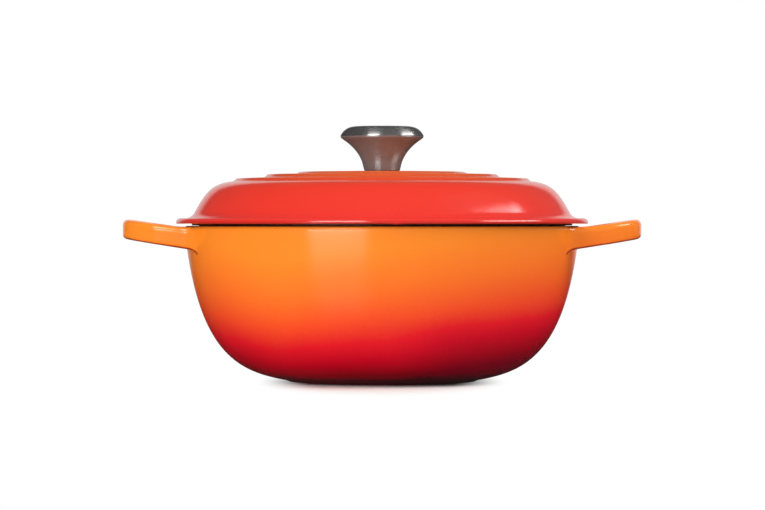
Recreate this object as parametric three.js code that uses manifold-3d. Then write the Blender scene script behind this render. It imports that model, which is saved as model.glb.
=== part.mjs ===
// Enamelled cast-iron marmite: a bowl with two loop handles, a domed lid and a screwed-on steel knob.
// Millimetres, +Z up, origin at the centre of the foot, handles along X.

import * as THREE from 'three';
import { mergeVertices } from 'three/addons/utils/BufferGeometryUtils.js';
import Module from 'manifold-3d';

const wasm = await Module();
wasm.setup();

// Pot: bowl, foot and rim
const RIM_RADIUS = 133.3;
const RIM_HEIGHT = 105;
const RIM_LAND = 7.3;
const RIM_EDGE = 1;
const RIM_BEAD_DEPTH = 9;
const POT_WALL = 3.6;
const FOOT_RADIUS = 65.6;
const FOOT_HEIGHT = 1.2;
const FOOT_CHAMFER = 3.1;
const RECESS_RADIUS = 48;
const RECESS_DEPTH = 0.6;

// Belly curve: it leaves the foot and reaches the rim at these angles, pulled this far along each
const FOOT_ANGLE = 9.9;
const FOOT_PULL = 30;
const RIM_ANGLE = 6;
const RIM_PULL = 86;

// Loop handles, cast in one with the bowl
const HANDLE_REACH = 175;
const HANDLE_HALF_WIDTH = 46;
const HANDLE_THICK = 13.3;
const HANDLE_DROP = 8.4;
const HANDLE_TILT = 9.1;
const HANDLE_EDGE = 3.5;
const HANDLE_FLARE = 7;
const HANDLE_SQUARENESS = 3;
const BAR_WIDTH = 17.5;
const ARM_WIDTH = 15;
const GRIP_SQUARENESS = 2.6;

// Lid: flange, seat ring and locating lip
const FLANGE_OVERHANG = 5.9;
const FLANGE_THICK = 3.7;
const FLANGE_EDGE = 2.9;
const FLANGE_LIFT = 1.5;
const SEAT_OVERLAP = 2.5;
const SEAT_GAP = 0.3;
const LIP_CLEARANCE = 2.4;
const LIP_THICK = 3.1;
const LIP_DEPTH = 6;
const LIP_EDGE = 1;

// Lid: sloping wall, shoulder and stepped crown
const LID_WALL = 3.6;
const COLLAR_INSET = 8.5;
const COLLAR_HEIGHT = 6.8;
const COLLAR_FILLET = 3;
const COLLAR_SLOPE = 31.5;
const COLLAR_PULL = 13.7;
const SHOULDER_HEIGHT = 24.9;
const SHOULDER_SLOPE = 5.7;
const SHOULDER_PULL = 13.6;
// Each ring lies this far inside the one before it, and the first inside the collar
const RINGS = [
  { inset: 26.2, step: 1.9, rise: 0.8 },
  { inset: 19.4, step: 2, rise: 0.4 },
  { inset: 21.2, step: 1.3, rise: 0.7 },
];
const RING_RUN = 2.2;
const RING_EDGE = 0.6;
const BOSS_RADIUS = 14;
const BOSS_THICK = 4.3;

// Knob: flared stem shell, domed cap and threaded bush
const KNOB_RADIUS = 28.1;
const STEM_RADIUS = 12.2;
const STEM_EDGE = 0.8;
const STEM_HEIGHT = 23.4;
const STEM_WALL = 1.2;
const STEM_FLOOR = 1.6;
const STEM_DRAFT = 8;
const STEM_PULL = 13.4;
const FLARE_ANGLE = 41.6;
const FLARE_PULL = 1.5;
const FLARE_EDGE_RUN = 1.6;
const FLARE_EDGE_RISE = 2.1;
const CAP_HEIGHT = 6.7;
const CAP_FLAT_RADIUS = 15.5;
const CAP_DISH = 0.5;
const CAP_WALL = 1.2;
const BUSH_RADIUS = 8;
const BUSH_NECK_RADIUS = 5;
const BUSH_HEIGHT = 14.5;
const FIT_GAP = 0.3;

// Fastening under the lid
const SCREW_RADIUS = 2.5;
const SCREW_LENGTH = 20;
const SCREW_POINT = 0.6;
const HEAD_RADIUS = 4.8;
const HEAD_HEIGHT = 3.3;
const HEAD_CROWN = 1.2;
const SLOT_WIDTH = 1.2;
const SLOT_DEPTH = 1.6;
const PLAIN_WASHER_RADIUS = 7.5;
const PLAIN_WASHER_THICK = 1.2;
const SPRING_WASHER_RADIUS = 4.6;
const SPRING_WASHER_THICK = 1.4;
const SPRING_WASHER_GAP = 1.1;
const SPRING_WASHER_SLANT = 25;
const LID_HOLE_GAP = 0.7;

// Fineness of the round shapes
const BODY_SEGMENTS = 56;
const KNOB_SEGMENTS = 28;
const SMALL_SEGMENTS = 20;
const BELLY_STEPS = 14;
const CURVE_STEPS = 7;
const ARC_STEPS = 2;
const HANDLE_STEPS = 26;
const BEVEL_STEPS = 3;

// Heights and radii that follow from the sizes above
const rimInner = RIM_RADIUS - RIM_LAND;
const handleMid = RIM_HEIGHT - HANDLE_DROP;
const flangeBottom = RIM_HEIGHT + FLANGE_LIFT;
const flangeTop = flangeBottom + FLANGE_THICK;
const flangeRadius = RIM_RADIUS + FLANGE_OVERHANG;
const seatRadius = rimInner + SEAT_OVERLAP;
const collarRadius = RIM_RADIUS - COLLAR_INSET;
const lipOuter = rimInner - LIP_CLEARANCE;
const lipInner = lipOuter - LIP_THICK;
const shoulderTop = flangeTop + SHOULDER_HEIGHT;
const knobSeat = RINGS.reduce((height, ring) => height + ring.step + ring.rise, shoulderTop);
const lidUnderside = knobSeat - BOSS_THICK;
const plainWasherBottom = lidUnderside - PLAIN_WASHER_THICK;
const headTop = plainWasherBottom - SPRING_WASHER_THICK;
const knobSeam = knobSeat + STEM_HEIGHT;
const holeRadius = SCREW_RADIUS + LID_HOLE_GAP;
const boreRadius = SCREW_RADIUS + FIT_GAP;

const radians = THREE.MathUtils.degToRad;
const point = (radius, height) => new THREE.Vector2(radius, height);

// Points of a round corner, turning from one angle to another about its centre
function corner(radius, height, size, fromDegrees, toDegrees) {
  const arc = new THREE.EllipseCurve(radius, height, size, size, radians(fromDegrees), radians(toDegrees));
  return arc.getPoints(ARC_STEPS);
}

// Points of a smooth turn from one point to another, guided by the sharp corner between them
function softened(start, sharp, end) {
  return new THREE.QuadraticBezierCurve(start, sharp, end).getPoints(ARC_STEPS);
}

// A cubic curve between two points, with the direction in degrees above level and the pull at each end
function bend(start, startDegrees, startPull, end, endDegrees, endPull) {
  const along = (degrees, pull) => point(pull, 0).rotateAround(point(0, 0), radians(degrees));
  return new THREE.CubicBezierCurve(
    start, start.clone().add(along(startDegrees, startPull)),
    end.clone().sub(along(endDegrees, endPull)), end);
}

// The same curve moved to its left by the wall's thickness
function inset(curve, thickness, steps) {
  return curve.getPoints(steps).map((place, index) => {
    const along = curve.getTangent(index / steps);
    return point(place.x - along.y * thickness, place.y + along.x * thickness);
  });
}

// Removes normals, merges shared vertices and drops the triangles that collapse on the axis
function closedGeometry(geometry) {
  const bare = geometry.clone();
  bare.deleteAttribute('normal');
  bare.deleteAttribute('uv');
  const merged = mergeVertices(bare, 1e-4);
  const index = merged.index.array;
  const kept = [];
  for (let i = 0; i < index.length; i += 3) {
    const [a, b, c] = [index[i], index[i + 1], index[i + 2]];
    if (a !== b && b !== c && c !== a) kept.push(a, b, c);
  }
  merged.setIndex(kept);
  return merged;
}

// A profile of radius and height, turned about the Z axis
function turned(profile, segments) {
  const geometry = new THREE.LatheGeometry(profile, segments);
  geometry.rotateX(Math.PI / 2);
  return closedGeometry(geometry);
}

function solidOf(geometry) {
  const closed = closedGeometry(geometry);
  return new wasm.Manifold(new wasm.Mesh({
    numProp: 3,
    vertProperties: new Float32Array(closed.attributes.position.array),
    triVerts: new Uint32Array(closed.index.array),
  }));
}

function geometryOf(solid) {
  const mesh = solid.getMesh();
  const geometry = new THREE.BufferGeometry();
  geometry.setAttribute('position', new THREE.BufferAttribute(new Float32Array(mesh.vertProperties), 3));
  geometry.setIndex(Array.from(mesh.triVerts));
  return geometry;
}

// The belly, from the top of the foot to the edge of the rim
const belly = bend(
  point(FOOT_RADIUS, FOOT_HEIGHT), FOOT_ANGLE, FOOT_PULL,
  point(RIM_RADIUS, RIM_HEIGHT - RIM_EDGE), 90 - RIM_ANGLE, RIM_PULL);

function bowl() {
  const beadTop = RIM_HEIGHT - RIM_BEAD_DEPTH;
  const inside = inset(belly, POT_WALL, BELLY_STEPS).filter((place) => place.y < beadTop).reverse();
  const floor = inside[inside.length - 1].y;
  const profile = [
    point(0, RECESS_DEPTH),
    point(RECESS_RADIUS, RECESS_DEPTH),
    point(RECESS_RADIUS + RECESS_DEPTH, 0),
    point(FOOT_RADIUS - FOOT_CHAMFER, 0),
    ...belly.getPoints(BELLY_STEPS),
    ...corner(RIM_RADIUS - RIM_EDGE, RIM_HEIGHT - RIM_EDGE, RIM_EDGE, 0, 90).slice(1),
    ...corner(rimInner + RIM_EDGE, RIM_HEIGHT - RIM_EDGE, RIM_EDGE, 90, 180),
    ...inside,
    point(0, floor),
  ];
  return turned(profile, BODY_SEGMENTS);
}

// Everything inside the middle of the pot's wall, which trims the roots of the handles
function wallCore() {
  const middle = inset(belly, POT_WALL / 2, BELLY_STEPS);
  const top = RIM_HEIGHT + HANDLE_THICK;
  const profile = [
    point(0, middle[0].y),
    ...middle,
    point(RIM_RADIUS - POT_WALL / 2, top),
    point(0, top),
  ];
  return turned(profile, BODY_SEGMENTS);
}

// A point of a rounded rectangle: |x|^n + |y|^n = 1, scaled to the two half sizes
function roundedPoint(centre, halfLength, halfWidth, squareness, angle) {
  const power = (value) => Math.sign(value) * Math.abs(value) ** (2 / squareness);
  return point(centre + halfLength * power(Math.cos(angle)), halfWidth * power(Math.sin(angle)));
}

// The loop seen from above: flared roots on the wall, rounded outer corners and a finger opening
function handleOutline() {
  const rootHalf = HANDLE_HALF_WIDTH + HANDLE_FLARE;
  const wallX = Math.sqrt(RIM_RADIUS ** 2 - rootHalf ** 2);
  const insideX = wallX - 2 * POT_WALL;
  const flareX = wallX + HANDLE_FLARE * rootHalf / wallX;
  const armX = flareX + HANDLE_FLARE;
  const outline = new THREE.Shape();
  outline.moveTo(insideX, -rootHalf);
  outline.lineTo(wallX, -rootHalf);
  outline.quadraticCurveTo(flareX, -HANDLE_HALF_WIDTH, armX, -HANDLE_HALF_WIDTH);
  for (let i = 1; i < HANDLE_STEPS; i++) {
    const angle = (i / HANDLE_STEPS - 0.5) * Math.PI;
    const place = roundedPoint(armX, HANDLE_REACH - armX, HANDLE_HALF_WIDTH, HANDLE_SQUARENESS, angle);
    outline.lineTo(place.x, place.y);
  }
  outline.lineTo(armX, HANDLE_HALF_WIDTH);
  outline.quadraticCurveTo(flareX, HANDLE_HALF_WIDTH, wallX, rootHalf);
  outline.lineTo(insideX, rootHalf);
  const gripIn = RIM_RADIUS - POT_WALL / 2;
  const gripOut = HANDLE_REACH - BAR_WIDTH;
  const grip = [];
  for (let i = 0; i < HANDLE_STEPS; i++) {
    const angle = (-2 * Math.PI * i) / HANDLE_STEPS;
    grip.push(roundedPoint(
      (gripIn + gripOut) / 2, (gripOut - gripIn) / 2, HANDLE_HALF_WIDTH - ARM_WIDTH, GRIP_SQUARENESS, angle));
  }
  outline.holes.push(new THREE.Path(grip));
  return outline;
}

// One loop handle on the +X side: a plate with rounded edges that rises away from the wall
function handleLoop() {
  const plate = new THREE.ExtrudeGeometry(handleOutline(), {
    depth: HANDLE_THICK - 2 * HANDLE_EDGE,
    curveSegments: CURVE_STEPS,
    bevelThickness: HANDLE_EDGE,
    bevelSize: HANDLE_EDGE,
    bevelOffset: -HANDLE_EDGE,
    bevelSegments: BEVEL_STEPS,
  });
  plate.translate(-RIM_RADIUS, 0, HANDLE_EDGE - HANDLE_THICK / 2);
  plate.applyMatrix4(new THREE.Matrix4().makeShear(0, Math.tan(radians(HANDLE_TILT)), 0, 0, 0, 0));
  plate.translate(RIM_RADIUS, 0, handleMid);
  return plate;
}

function potBody() {
  const core = solidOf(wallCore());
  const loop = handleLoop();
  const right = solidOf(loop).subtract(core);
  const left = solidOf(loop.clone().rotateZ(Math.PI)).subtract(core);
  return geometryOf(solidOf(bowl()).add(right).add(left));
}

// The lid's wall and shoulder, from the top of the collar to the foot of the outer ring
const shoulder = bend(
  point(collarRadius, flangeTop + COLLAR_HEIGHT), 90 + COLLAR_SLOPE, COLLAR_PULL,
  point(collarRadius - RINGS[0].inset, shoulderTop), 180 - SHOULDER_SLOPE, SHOULDER_PULL);

// Three low rings, each a soft step up and a gently rising band, ending in the knob's flat seat
function crown() {
  const profile = [];
  let radius = collarRadius;
  let height = shoulderTop;
  for (const ring of RINGS) {
    radius -= ring.inset;
    const top = height + ring.step;
    profile.push(
      point(radius, height),
      point(radius - RING_RUN + RING_EDGE, top - RING_EDGE),
      point(radius - RING_RUN - RING_EDGE, top));
    height = top + ring.rise;
  }
  profile.push(point(BOSS_RADIUS, height));
  return profile;
}

function lid() {
  const underShoulder = inset(shoulder, LID_WALL, CURVE_STEPS).reverse();
  const lipBottom = RIM_HEIGHT - LIP_DEPTH;
  const seatBottom = RIM_HEIGHT + SEAT_GAP;
  const collarRun = Math.tan(radians(COLLAR_SLOPE));
  const collarFoot = point(collarRadius + COLLAR_HEIGHT * collarRun, flangeTop);
  const profile = [
    point(holeRadius, lidUnderside),
    point(BOSS_RADIUS, lidUnderside),
    ...underShoulder,
    point(lipInner, flangeTop),
    ...corner(lipInner + LIP_EDGE, lipBottom + LIP_EDGE, LIP_EDGE, 180, 270),
    ...corner(lipOuter - LIP_EDGE, lipBottom + LIP_EDGE, LIP_EDGE, 270, 360),
    point(lipOuter, seatBottom),
    point(seatRadius, seatBottom),
    point(seatRadius, flangeBottom),
    point(flangeRadius, flangeBottom),
    ...corner(flangeRadius - FLANGE_EDGE, flangeTop - FLANGE_EDGE, FLANGE_EDGE, 0, 90),
    ...softened(
      point(collarFoot.x + COLLAR_FILLET, flangeTop), collarFoot,
      point(collarFoot.x - COLLAR_FILLET * collarRun, flangeTop + COLLAR_FILLET)),
    ...shoulder.getPoints(CURVE_STEPS).slice(0, -1),
    ...crown(),
    point(holeRadius, knobSeat),
    point(holeRadius, lidUnderside),
  ];
  return turned(profile, BODY_SEGMENTS);
}

// The stem's outside, from just above its base to the start of the rounded brim
const brimStart = point(KNOB_RADIUS - FLARE_EDGE_RUN, knobSeam - FLARE_EDGE_RISE);
const brimCorner = point(KNOB_RADIUS, brimStart.y + FLARE_EDGE_RUN * Math.tan(radians(FLARE_ANGLE)));
const stemCurve = bend(
  point(STEM_RADIUS, knobSeat + STEM_EDGE), 90 - STEM_DRAFT, STEM_PULL, brimStart, FLARE_ANGLE, FLARE_PULL);

function knobStem() {
  const neckHole = BUSH_NECK_RADIUS + FIT_GAP;
  const floor = knobSeat + STEM_FLOOR;
  const inside = inset(stemCurve, STEM_WALL, CURVE_STEPS).filter((place) => place.y > floor).reverse();
  const innerFoot = inside[inside.length - 1].x;
  const profile = [
    point(neckHole, knobSeat),
    point(STEM_RADIUS - STEM_EDGE, knobSeat),
    ...stemCurve.getPoints(CURVE_STEPS),
    ...softened(brimStart, brimCorner, point(KNOB_RADIUS, knobSeam)).slice(1),
    point(KNOB_RADIUS - STEM_WALL, knobSeam),
    ...inside,
    point(innerFoot, floor),
    point(neckHole, floor),
    point(neckHole, knobSeat),
  ];
  return turned(profile, KNOB_SEGMENTS);
}

function knobCap() {
  const top = knobSeam + CAP_HEIGHT;
  const skirtOuter = KNOB_RADIUS - FLARE_EDGE_RUN - STEM_WALL;
  const skirtBottom = knobSeam - FLARE_EDGE_RISE + STEM_WALL;
  const skirtInner = skirtOuter - CAP_WALL;
  const dome = new THREE.EllipseCurve(
    CAP_FLAT_RADIUS, knobSeam, KNOB_RADIUS - CAP_FLAT_RADIUS, CAP_HEIGHT, 0, Math.PI / 2);
  const hollowRise = CAP_HEIGHT - CAP_WALL - CAP_DISH;
  const hollow = new THREE.EllipseCurve(
    CAP_FLAT_RADIUS, knobSeam, skirtInner - CAP_FLAT_RADIUS, hollowRise, Math.PI / 2, 0, true);
  const profile = [
    point(0, top - CAP_DISH - CAP_WALL),
    ...hollow.getPoints(CURVE_STEPS),
    point(skirtInner, skirtBottom),
    point(skirtOuter, skirtBottom),
    point(skirtOuter, knobSeam),
    ...dome.getPoints(CURVE_STEPS),
    point(CAP_FLAT_RADIUS - CAP_DISH, top - CAP_DISH),
    point(0, top - CAP_DISH),
  ];
  return turned(profile, KNOB_SEGMENTS);
}

function knobBush() {
  const floor = knobSeat + STEM_FLOOR;
  const top = knobSeat + BUSH_HEIGHT;
  const profile = [
    point(boreRadius, knobSeat),
    point(BUSH_NECK_RADIUS, knobSeat),
    point(BUSH_NECK_RADIUS, floor),
    point(BUSH_RADIUS, floor),
    point(BUSH_RADIUS, top),
    point(boreRadius, top),
    point(boreRadius, knobSeat),
  ];
  return turned(profile, SMALL_SEGMENTS);
}

function knobScrew() {
  const headBottom = headTop - HEAD_HEIGHT;
  const tip = headTop + SCREW_LENGTH;
  const profile = [
    point(0, headBottom),
    point(HEAD_RADIUS - HEAD_CROWN, headBottom),
    ...corner(HEAD_RADIUS - HEAD_CROWN, headBottom + HEAD_CROWN, HEAD_CROWN, 270, 360).slice(1),
    point(HEAD_RADIUS, headTop),
    point(SCREW_RADIUS, headTop),
    point(SCREW_RADIUS, tip - SCREW_POINT),
    point(SCREW_RADIUS - SCREW_POINT, tip),
    point(0, tip),
  ];
  const slot = new THREE.BoxGeometry(3 * HEAD_RADIUS, SLOT_WIDTH, 2 * SLOT_DEPTH);
  slot.translate(0, 0, headBottom);
  return geometryOf(solidOf(turned(profile, SMALL_SEGMENTS)).subtract(solidOf(slot)));
}

function washer(bottom, outerRadius, thick) {
  const profile = [
    point(boreRadius, bottom),
    point(outerRadius, bottom),
    point(outerRadius, bottom + thick),
    point(boreRadius, bottom + thick),
    point(boreRadius, bottom),
  ];
  return turned(profile, SMALL_SEGMENTS);
}

// A flattened coil of one turn: a ring cut through on a slant
function springWasher() {
  const cut = new THREE.BoxGeometry(SPRING_WASHER_GAP, 2 * SPRING_WASHER_RADIUS, 4 * SPRING_WASHER_THICK);
  cut.rotateY(radians(SPRING_WASHER_SLANT));
  cut.translate(0, SPRING_WASHER_RADIUS, headTop + SPRING_WASHER_THICK / 2);
  const ring = washer(headTop, SPRING_WASHER_RADIUS, SPRING_WASHER_THICK);
  return geometryOf(solidOf(ring).subtract(solidOf(cut)));
}

const enamelOrange = new THREE.MeshStandardMaterial({ color: 0xf06a2a, roughness: 0.18, metalness: 0 });
const enamelRed = new THREE.MeshStandardMaterial({ color: 0xe2402f, roughness: 0.18, metalness: 0 });
const brushedSteel = new THREE.MeshStandardMaterial({ color: 0xb9b9b8, roughness: 0.3, metalness: 1 });
const platedSteel = new THREE.MeshStandardMaterial({ color: 0xa7a9ab, roughness: 0.4, metalness: 1 });

const marmite = new THREE.Group();

function addPart(name, geometry, material) {
  const mesh = new THREE.Mesh(geometry, material);
  mesh.name = name;
  marmite.add(mesh);
}

addPart('pot_body', potBody(), enamelOrange);
addPart('lid', lid(), enamelRed);
addPart('knob_stem', knobStem(), brushedSteel);
addPart('knob_cap', knobCap(), brushedSteel);
addPart('knob_bush', knobBush(), platedSteel);
addPart('knob_screw', knobScrew(), platedSteel);
addPart('plain_washer', washer(plainWasherBottom, PLAIN_WASHER_RADIUS, PLAIN_WASHER_THICK), platedSteel);
addPart('spring_washer', springWasher(), platedSteel);

export default marmite;
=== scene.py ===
# Looks of an enamelled cast-iron marmite: a bowl that fades from red to orange, a domed lid and a steel knob.
# Shapes are worked out in millimetres, in the frame's own axes, and put into the scene in metres.
from math import cos, radians, sin, tan

import bpy
import numpy as np
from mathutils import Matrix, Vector


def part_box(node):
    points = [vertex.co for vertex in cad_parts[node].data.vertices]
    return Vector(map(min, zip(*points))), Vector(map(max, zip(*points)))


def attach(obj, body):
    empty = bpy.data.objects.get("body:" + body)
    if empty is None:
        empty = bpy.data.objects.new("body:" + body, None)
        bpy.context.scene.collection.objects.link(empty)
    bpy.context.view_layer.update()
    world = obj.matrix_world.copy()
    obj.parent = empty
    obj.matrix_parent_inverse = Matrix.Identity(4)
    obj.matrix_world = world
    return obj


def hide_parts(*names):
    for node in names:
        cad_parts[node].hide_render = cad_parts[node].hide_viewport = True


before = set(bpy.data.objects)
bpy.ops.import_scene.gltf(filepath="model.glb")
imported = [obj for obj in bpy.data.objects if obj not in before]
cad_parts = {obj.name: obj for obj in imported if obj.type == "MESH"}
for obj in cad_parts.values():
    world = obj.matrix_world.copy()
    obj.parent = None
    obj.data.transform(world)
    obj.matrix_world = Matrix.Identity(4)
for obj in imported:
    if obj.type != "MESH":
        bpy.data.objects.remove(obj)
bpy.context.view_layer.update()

MM = 0.001


def extent(node):
    """Outer radius, lowest level and highest level of a round node, in millimetres."""
    low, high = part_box(node)
    return high.x / MM, low.z / MM, high.z / MM


# Sizes that the frame gives
handle_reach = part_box("pot_body")[1].x / MM
flange_radius, lip_bottom, knob_seat = extent("lid")
knob_radius, _, knob_seam = extent("knob_stem")
_, cap_bottom, cap_top = extent("knob_cap")
bush_radius, _, bush_top = extent("knob_bush")
head_radius, head_bottom, screw_tip = extent("knob_screw")
plain_radius, plain_bottom, lid_underside = extent("plain_washer")
spring_radius, head_top, _ = extent("spring_washer")

# Bowl, foot and rim
FLANGE_OVERHANG = 5.9
LIP_DEPTH = 6
RIM_LAND = 7.3
RIM_EDGE = 1
RIM_ROLL = 3
RIM_ROLL_IN = 1.2
RIM_BARE = 0.45
BEAD_STRAIGHT = 3
BEAD_DEPTH = 11
POT_WALL = 3.6
FOOT_RADIUS = 65.6
FOOT_HEIGHT = 1.2
FOOT_CHAMFER = 3.1
FOOT_EDGE = 1.5
RECESS_RADIUS = 48
RECESS_DEPTH = 0.6
FOOT_ANGLE = 9.9
FOOT_PULL = 30
RIM_ANGLE = 6
RIM_PULL = 86
RIM_ROLL_PULL = 0.6
RIM_TOP_PULL = 0.4
rim_radius = flange_radius - FLANGE_OVERHANG
rim_height = lip_bottom + LIP_DEPTH
rim_inner = rim_radius - RIM_LAND

# Loop handles
HANDLE_HALF_WIDTH = 46
HANDLE_THICK = 13.3
HANDLE_DROP = 8.4
HANDLE_TILT = 9.1
HANDLE_SQUARENESS = 2.6
BAR_TOP_EDGE = 4.3
BAR_LOWER_EDGE = 2.7
BAR_WIDTH = 17.5
ARM_WIDTH = 15
ARM_START = 132.3
ROOT_OUTSIDE = 8
ROOT_INSIDE = 6
ROOT_BELOW = 3.5
ARM_DRAFT = 0.24
ROOT_TOP_LEVEL = 104.2
ROOT_TOP_SOFTNESS = 0.7
ROOT_SINK = 0.3
ROOT_SPREAD = 3
ROOT_FADE = 22
ROOT_REACH = 1.1
ROOT_BELOW_START = 0.2
ROOT_BELOW_FULL = 0.9
# Handles' undersides mixed to dark red: partly real, as red sprayed from below and thin enamel on the edge,
# and partly painted shade under the arms and in the crease at their roots.
UNDER_SHADE = 0.9
UNDER_SHADE_START = 0.82
UNDER_SHADE_FULL = 0.92

# Lid: flange, seat ring, lip, wall, shoulder and stepped crown
FLANGE_THICK = 3.7
FLANGE_EDGE = 3
FLANGE_LOWER_EDGE = 0.6
FLANGE_LIFT = 1.5
SEAT_GAP = 0.3
SEAT_OVERLAP = 2.5
LIP_CLEARANCE = 2.4
LIP_THICK = 3.1
LIP_EDGE = 1
LID_WALL = 3.6
COLLAR_INSET = 7.2
COLLAR_HEIGHT = 5
COLLAR_FILLET = 7
COLLAR_SLOPE = 28.5
COLLAR_PULL = 16
SHOULDER_HEIGHT = 24.9
SHOULDER_SLOPE = 5.7
SHOULDER_PULL = 13
RINGS = [(25.5, 1.9, 0.8), (21.0, 2.0, 0.4), (21.6, 1.3, 0.7)]
RING_RUN = 2.2
RING_FOOT = 1.4
RING_EDGE = 1.1
BOSS_RADIUS = 14
HOLE_RADIUS = 3.2
DRIP_DROP = 0.4
DRIP_PLACE = 8.5
DRIP_HALF_WIDTH = 3.2
FLANGE_SHADE = 0.6
FLANGE_SHADE_WIDTH = 4
FLANGE_SHADE_FULL = 1
FLANGE_SHADE_LOW = 0.2
FLANGE_SHADE_HIGH = 0.6

# Knob: flared stem, domed cap and bush
STEM_RADIUS = 12.2
STEM_EDGE = 0.8
STEM_BASE_EDGE = 1.1
STEM_WALL = 1.2
STEM_FLOOR = 1.6
STEM_DRAFT = 8
STEM_PULL = 13.4
STEM_BASE_JOIN = 8
FLARE_ANGLE = 41.6
FLARE_PULL = 1.5
BRIM_RUN = 1.6
BRIM_RISE = 2.1
SEAM_EDGE = 0.3
CAP_SLOPE = 62
CAP_SIDE_PULL = 4.5
CAP_TOP_PULL = 5.5
CAP_FLAT_RADIUS = 17
CAP_EDGE = 1.2
CAP_DISH = 0.5
CAP_DISH_RUN = 6
CAP_WALL = 1.2
CAP_LINING_EDGE = 2
CAP_SKIRT_EDGE = 1
BUSH_NECK_RADIUS = 5
FIT_GAP = 0.3
SMALL_EDGE = 0.25

# Screw and washers
SCREW_RADIUS = 2.5
THREAD_PITCH = 0.8
THREAD_DEPTH = 0.43
THREAD_RUNOUT = 1.6
THREAD_FLAT = 0.125
SCREW_POINT = 0.6
HEAD_CROWN = 1.2
HEAD_END = 0.66
SLOT_WIDTH = 1.2
SLOT_DEPTH = 1.6
SPRING_THICK = 1.4
SPRING_GAP = 1.1
SPRING_SLANT = 25
SPRING_SQUARENESS = 6
BORE_RADIUS = SCREW_RADIUS + FIT_GAP

# Fineness: counts of points, and the longest steps in millimetres
AROUND_POT = 192
AROUND_KNOB = 128
AROUND_SMALL = 64
CURVE_STEPS = 64
ARC_STEPS = 8
SMALL_ARC_STEPS = 5
BRIM_STEPS = 12
FINE_STEPS = 1441
PATH_POINTS = 2001
BAR_POINTS = 80
ROOT_RINGS = 14
LOOP_RINGS = 100
THREAD_ROWS = 10
HEAD_ROWS = 49
LAND_STEPS = 9
SPRING_ROWS = 97
SPRING_POINTS = 32
LONGEST_STEP = 2.5
KNOB_STEP = 1.5
SMALL_STEP = 1
SAME_PLACE = 1e-6


# Outlines: arrays of radius and height, or of two plane coordinates

def smooth(value, low, high):
    """Rises from 0 to 1 between two limits, level at both ends: 3 t^2 - 2 t^3."""
    share = np.clip((value - low) / (high - low), 0, 1)
    return share * share * (3 - 2 * share)


def heading(degrees):
    """Unit vector at an angle above level."""
    return np.array([np.cos(np.radians(degrees)), np.sin(np.radians(degrees))])


def bend(start, start_angle, start_pull, end, end_angle, end_pull, steps=CURVE_STEPS):
    """Cubic curve on four points: it leaves start and reaches end at angles above level, pulled along each.

    With s = 1 - t it is s^3 first + 3 s^2 t second + 3 s t^2 third + t^3 last.
    """
    first = np.array(start, float)
    last = np.array(end, float)
    second = first + start_pull * heading(start_angle)
    third = last - end_pull * heading(end_angle)
    t = np.linspace(0, 1, steps)[:, None]
    s = 1 - t
    return s**3 * first + 3 * s**2 * t * second + 3 * s * t**2 * third + t**3 * last


def arc(centre, half_width, half_height, start, end, steps=ARC_STEPS):
    """Stretch of an ellipse about a centre, between two angles in degrees."""
    angle = np.radians(np.linspace(start, end, steps))
    return np.array(centre) + np.stack([half_width * np.cos(angle), half_height * np.sin(angle)], axis=1)


def inset(curve, thickness):
    """The curve moved to its left by a thickness, along normals from its finite differences."""
    along = np.gradient(curve, axis=0)
    along /= np.linalg.norm(along, axis=1, keepdims=True)
    return curve + thickness * np.stack([-along[:, 1], along[:, 0]], axis=1)


def rounded(points, radii, steps=ARC_STEPS):
    """Open line of straight stretches whose inner corners are arcs.

    With h half the angle between the two sides of a corner, the arc of radius r touches them r / tan h from
    the corner, and its centre lies r / sin h from it. The spokes turn evenly from one touching point to
    the other.
    """
    points = np.array(points, float)
    radius = np.array(radii, float)[:, None]
    corner = points[1:-1]
    back = points[:-2] - corner
    ahead = points[2:] - corner
    back /= np.linalg.norm(back, axis=1, keepdims=True)
    ahead /= np.linalg.norm(ahead, axis=1, keepdims=True)
    half = np.arccos(np.sum(back * ahead, axis=1, keepdims=True)) / 2
    middle = (back + ahead) / np.linalg.norm(back + ahead, axis=1, keepdims=True)
    centre = corner + middle * radius / np.sin(half)
    first = corner + back * radius / np.tan(half) - centre
    last = corner + ahead * radius / np.tan(half) - centre
    turn = (np.pi - 2 * half)[:, None]
    t = np.linspace(0, 1, steps)[None, :, None]
    spokes = np.sin((1 - t) * turn) * first[:, None] + np.sin(t * turn) * last[:, None]
    arcs = centre[:, None] + spokes / np.sin(turn)
    return np.vstack([points[:1], arcs.reshape(-1, 2), points[-1:]])


def divided(outline, longest=LONGEST_STEP):
    """The outline with its long stretches cut into equal steps no longer than a limit."""
    length = np.linalg.norm(np.diff(outline, axis=0), axis=1)
    outline = outline[np.append(length > SAME_PLACE, True)]
    length = np.linalg.norm(np.diff(outline, axis=0), axis=1)
    parts = np.maximum(1, np.ceil(length / longest)).astype(int)
    index = np.repeat(np.arange(len(parts)), parts)
    count = np.arange(len(index)) - np.repeat(np.cumsum(parts) - parts, parts)
    share = (count / parts[index])[:, None]
    return np.vstack([outline[index] + share * (outline[index + 1] - outline[index]), outline[-1:]])


def evenly(curve, count):
    """Points at equal steps of length along a curve."""
    length = np.append(0, np.cumsum(np.linalg.norm(np.diff(curve, axis=0), axis=1)))
    place = np.linspace(0, length[-1], count)
    return np.stack([np.interp(place, length, column) for column in curve.T], axis=1)


def oblong(half_width, half_height, squareness, start, end, steps):
    """Stretch of the rounded rectangle |x / a|^n + |y / b|^n = 1, between two angles in degrees."""
    angle = np.radians(np.linspace(start, end, steps))
    wave = np.stack([np.cos(angle), np.sin(angle)], axis=1)
    return np.array([half_width, half_height]) * np.sign(wave) * np.abs(wave) ** (2 / squareness)


# Surfaces: an array of points and lists of faces

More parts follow.
